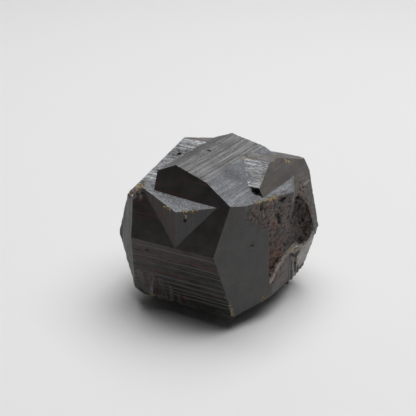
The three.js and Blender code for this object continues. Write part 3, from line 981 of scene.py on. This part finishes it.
def gloss(tree, m, shader):
    shader.inputs["IOR"].default_value = SKIN_IOR
    metal = product(tree, read(tree, "metal"), math_node(tree, "MULTIPLY_ADD", m.clouds, -0.5, 1.25))
    tree.links.new(math_node(tree, "MAXIMUM", m.gold, metal), shader.inputs["Metallic"])
    dull = total(tree, 0.26, product(tree, m.frost, 0.15), product(tree, m.clouds, 0.1))
    dull = total(tree, dull, product(tree, m.streaks, m.lines, 0.1), product(tree, m.rusty, 0.15))
    dull = math_node(tree, "MAXIMUM", dull, product(tree, m.corroded, 0.55))
    earthy = math_node(tree, "MAXIMUM", m.crust, m.orange)
    dull = math_node(tree, "MAXIMUM", dull, product(tree, earthy, 0.75))
    tree.links.new(math_node(tree, "MULTIPLY_ADD", m.gold, -0.1, dull), shader.inputs["Roughness"])


gloss(skin_tree, masks, skin_shader)
print("index of refraction:", SKIN_IOR)

# %% [markdown]
# The mesh carries the relief down to a few tenths of a millimetre. What is finer, such as the thinnest
# lines and the grit, is a bump: it only tilts the light, so it costs no triangles.

# %% Fine bumps of the skin
def fine_bumps(tree, m, shader):
    fine = product(tree, grain(tree, m.long_lines, 0.28, softness=0.2), m.lines, 0.06)
    sparkle = product(tree, m.specks, math_node(tree, "MULTIPLY_ADD", m.frost, 0.12, 0.006))
    rough = product(tree, grain(tree, m.place, 0.5, softness=0.2), m.corroded, 0.14)
    torn = product(tree, grain(tree, m.place, 0.3, softness=0.2), m.gold, 0.12)
    bump(tree, total(tree, fine, sparkle, rough, torn), shader)


fine_bumps(skin_tree, masks, skin_shader)
print("skin material:", len(skin_tree.nodes), "nodes")

# %% [markdown]
# Now the relief tree can run, with the skin as its finish. Shading is smooth over the relief and sharp
# where facets meet. The piece takes the place of the plain solid, and rides on its body.

# %% Grow the relief
RELIEF_SEED = 3
CREASE = math.radians(30)            # edges sharper than this stay sharp
crystal.data = grown(crystal, relief, {**SIZES, "Seed": RELIEF_SEED, "Finish": skin_finish})
crystal.data.polygons.foreach_set("use_smooth", [True] * len(crystal.data.polygons))
crystal.data.set_sharp_from_angle(angle=CREASE)
heights = [a.value for a in crystal.data.attributes["relief"].data]
print("relief, mm:", round(min(heights), 2), "to", round(max(heights), 2))
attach(crystal, "root")
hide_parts("pyrite_crystal")

# %% [markdown]
# Where the skin is chipped, single grains of pyrite catch the light. Limonite sits on the flank as tiny
# lumps. Both are scattered on the skin by one Geometry Nodes tree: it takes points at random where a mark
# is strong, sets a small shape on each, turned and sized at random, and makes them one mesh.

# %% The scattering tree
scatter = new_tree("scattered_grains", {
    "Mark": "String",
    "Density": "Float",       # grains per mm2
    "Smallest": "Float",      # mm
    "Largest": "Float",
    "Seed": "Int",
    "Shape": "Object",
    "Finish": "Material",
})


def lay_scatter(tree):
    given = put(tree, "NodeGroupInput").outputs
    mark = put(tree, "GeometryNodeInputNamedAttribute", {"Name": given["Mark"]}, data_type="FLOAT")
    thick = range_node(tree, mark.outputs["Attribute"], 0.2, 0.7)
    thick = product(tree, thick, given["Density"], 1 / MM ** 2)
    inputs = {"Mesh": given["Geometry"], "Density": thick, "Seed": given["Seed"]}
    spots = put(tree, "GeometryNodeDistributePointsOnFaces", inputs, distribute_method="RANDOM")
    inputs = {"Object": given["Shape"], "As Instance": True}
    shape = put(tree, "GeometryNodeObjectInfo", inputs).outputs["Geometry"]
    turn = put(tree, "FunctionNodeRandomValue", {"Seed": given["Seed"]}, data_type="FLOAT_VECTOR")
    turn.inputs["Max"].default_value = (math.tau,) * 3
    inputs = {2: given["Smallest"], 3: given["Largest"], "Seed": given["Seed"]}     # 2 and 3: floats
    size = put(tree, "FunctionNodeRandomValue", inputs, data_type="FLOAT")
    inputs = {"Points": spots.outputs["Points"], "Instance": shape, "Rotation": turn.outputs[0]}
    laid = put(tree, "GeometryNodeInstanceOnPoints", {**inputs, "Scale": size.outputs[1]})
    real = put(tree, "GeometryNodeRealizeInstances", {"Geometry": laid.outputs[0]})
    done = put(tree, "GeometryNodeSetMaterial", {"Geometry": real.outputs[0], "Material": given["Finish"]})
    put(tree, "NodeGroupOutput", {0: done.outputs[0]})


lay_scatter(scatter)
print("scatter tree:", len(scatter.nodes), "nodes")

# %% [markdown]
# Pyrite breaks into small cubes, and limonite forms lumps like crumbs of earth. Each shape is made once,
# 1 mm across and with few faces, because it is repeated many times. The tree scales it down.

# %% The two small shapes
BEVEL = 0.12             # mm
LUMPINESS = 0.25         # share of the radius


def little_cube():
    bm = bmesh.new()
    bmesh.ops.create_cube(bm, size=MM)
    bmesh.ops.bevel(bm, geom=bm.edges, offset=BEVEL * MM, segments=1, affect="EDGES")
    return bm


def little_lump():
    bm = bmesh.new()
    bmesh.ops.create_icosphere(bm, subdivisions=1, radius=MM / 2)
    for vert in bm.verts:
        vert.co *= 1 + LUMPINESS * math.sin(11 * vert.index)
    return bm


def shape_object(name, bm):
    mesh = bpy.data.meshes.new(name)
    bm.to_mesh(mesh)
    return add_object(name, mesh)


print("shapes: little_cube and little_lump")

# %% [markdown]
# Fresh pyrite is a bright, slightly brassy metal. Limonite is matt and orange-red. Both are a little
# uneven in colour, which the shared grain gives.

# %% The finishes of the grains
DEEP_BRASS = (0.420, 0.270, 0.100)
DEEP_ORANGE = (0.200, 0.045, 0.020)


def grain_finish(name, light, deep, size, metal, dull):
    finish, tree, shader = new_finish(name)
    color = blend_color(tree, grain(tree, place_of(tree), size), light, deep)
    tree.links.new(color, shader.inputs["Base Color"])
    shader.inputs["Metallic"].default_value = metal
    shader.inputs["Roughness"].default_value = dull
    return finish


brass_finish = grain_finish("bright_pyrite", BRASS, DEEP_BRASS, 0.3, metal=1.0, dull=0.28)
limonite_finish = grain_finish("orange_limonite", ORANGE, DEEP_ORANGE, 0.25, metal=0.0, dull=0.8)
print("finishes:", brass_finish.name, limonite_finish.name)

# %% Scatter the grains
# piece: mark, grains per mm2, smallest and largest in mm, shape, finish
GRAINS = {
    "pyrite_grains": ("gold", 4.0, 0.10, 0.26, little_cube, brass_finish),
    "limonite_specks": ("orange", 2.0, 0.12, 0.30, little_lump, limonite_finish),
}
for seed, (name, (mark, density, smallest, largest, make, finish)) in enumerate(GRAINS.items()):
    shape = shape_object("one_grain", make())
    piece = add_object(name, crystal.data)
    values = {"Mark": mark, "Density": density, "Smallest": smallest, "Largest": largest}
    piece.data = grown(piece, scatter, {**values, "Seed": seed, "Shape": shape, "Finish": finish})
    piece.data.name = name
    bpy.data.objects.remove(shape)
    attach(piece, "root")
    print(name, len(piece.data.polygons), "faces")

# %% [markdown]
# The studio floor is pale paper that sweeps up behind the crystal, so that no horizon shows. It is not
# part of the crystal.

# %% Floor and sweep
FLOOR_START = -0.9       # m in front of the crystal
FLOOR_END = 0.75         # m behind it, where the paper starts to rise
SWEEP_RADIUS = 0.25
SWEEP_TOP = 1.2
HALF_WIDTH = 1.2
PAPER = (0.86, 0.86, 0.86, 1)


def sweep_mesh():
    profile = [(FLOOR_START, 0.0), (FLOOR_END, 0.0)]
    for turn in np.linspace(0, math.pi / 2, 17)[1:]:
        profile.append((FLOOR_END + SWEEP_RADIUS * math.sin(turn), SWEEP_RADIUS * (1 - math.cos(turn))))
    profile.append((FLOOR_END + SWEEP_RADIUS, SWEEP_TOP))
    verts = [(side * HALF_WIDTH, y, z) for y, z in profile for side in (-1, 1)]
    faces = [(2 * k, 2 * k + 1, 2 * k + 3, 2 * k + 2) for k in range(len(profile) - 1)]
    mesh = bpy.data.meshes.new("sweep")
    mesh.from_pydata(verts, [], faces)
    mesh.polygons.foreach_set("use_smooth", [True] * len(mesh.polygons))
    return mesh


sweep = add_object("sweep", sweep_mesh())
sweep.rotation_euler.z = AZIMUTH
paper, _, paper_shader = new_finish("pale_paper")
paper_shader.inputs["Base Color"].default_value = PAPER
paper_shader.inputs["Roughness"].default_value = 0.9
sweep.data.materials.append(paper)
print("sweep:", len(sweep.data.polygons), "faces")

# %% [markdown]
# One big soft lamp hangs nearly overhead, a little behind the crystal and to its right. Tops catch it,
# and the front stays dark. The rest is an even, dim surround. Dark glossy facets show what they mirror,
# so where the lamp is matters more than how strong it is.

# %% Lamp and surround
LAMP_AZIMUTH = math.radians(155)
LAMP_ELEVATION = math.radians(78)
LAMP_DISTANCE = 0.85     # m
LAMP_SIZE = (1.0, 0.9)   # m
LAMP_WATTS = 9.1
AIM = Vector((0, 0, 0.018))
SURROUND, SURROUND_STRENGTH = (0.5, 0.5, 0.5, 1), 0.065

lamp = bpy.data.lights.new("overhead", "AREA")
lamp.shape = "RECTANGLE"
lamp.size, lamp.size_y = LAMP_SIZE
lamp.energy = LAMP_WATTS
overhead = add_object("overhead", lamp)
direction = direction_at(LAMP_AZIMUTH, LAMP_ELEVATION)
overhead.location = AIM + direction * LAMP_DISTANCE
overhead.rotation_euler = direction.to_track_quat("Z", "Y").to_euler()

world = bpy.data.worlds.new("studio")
bpy.context.scene.world = world
world.use_nodes = True
world.node_tree.nodes["Background"].inputs["Color"].default_value = SURROUND
world.node_tree.nodes["Background"].inputs["Strength"].default_value = SURROUND_STRENGTH
bpy.context.scene.view_settings.view_transform = "Standard"
print("lamp at, m:", [round(v, 2) for v in overhead.location])
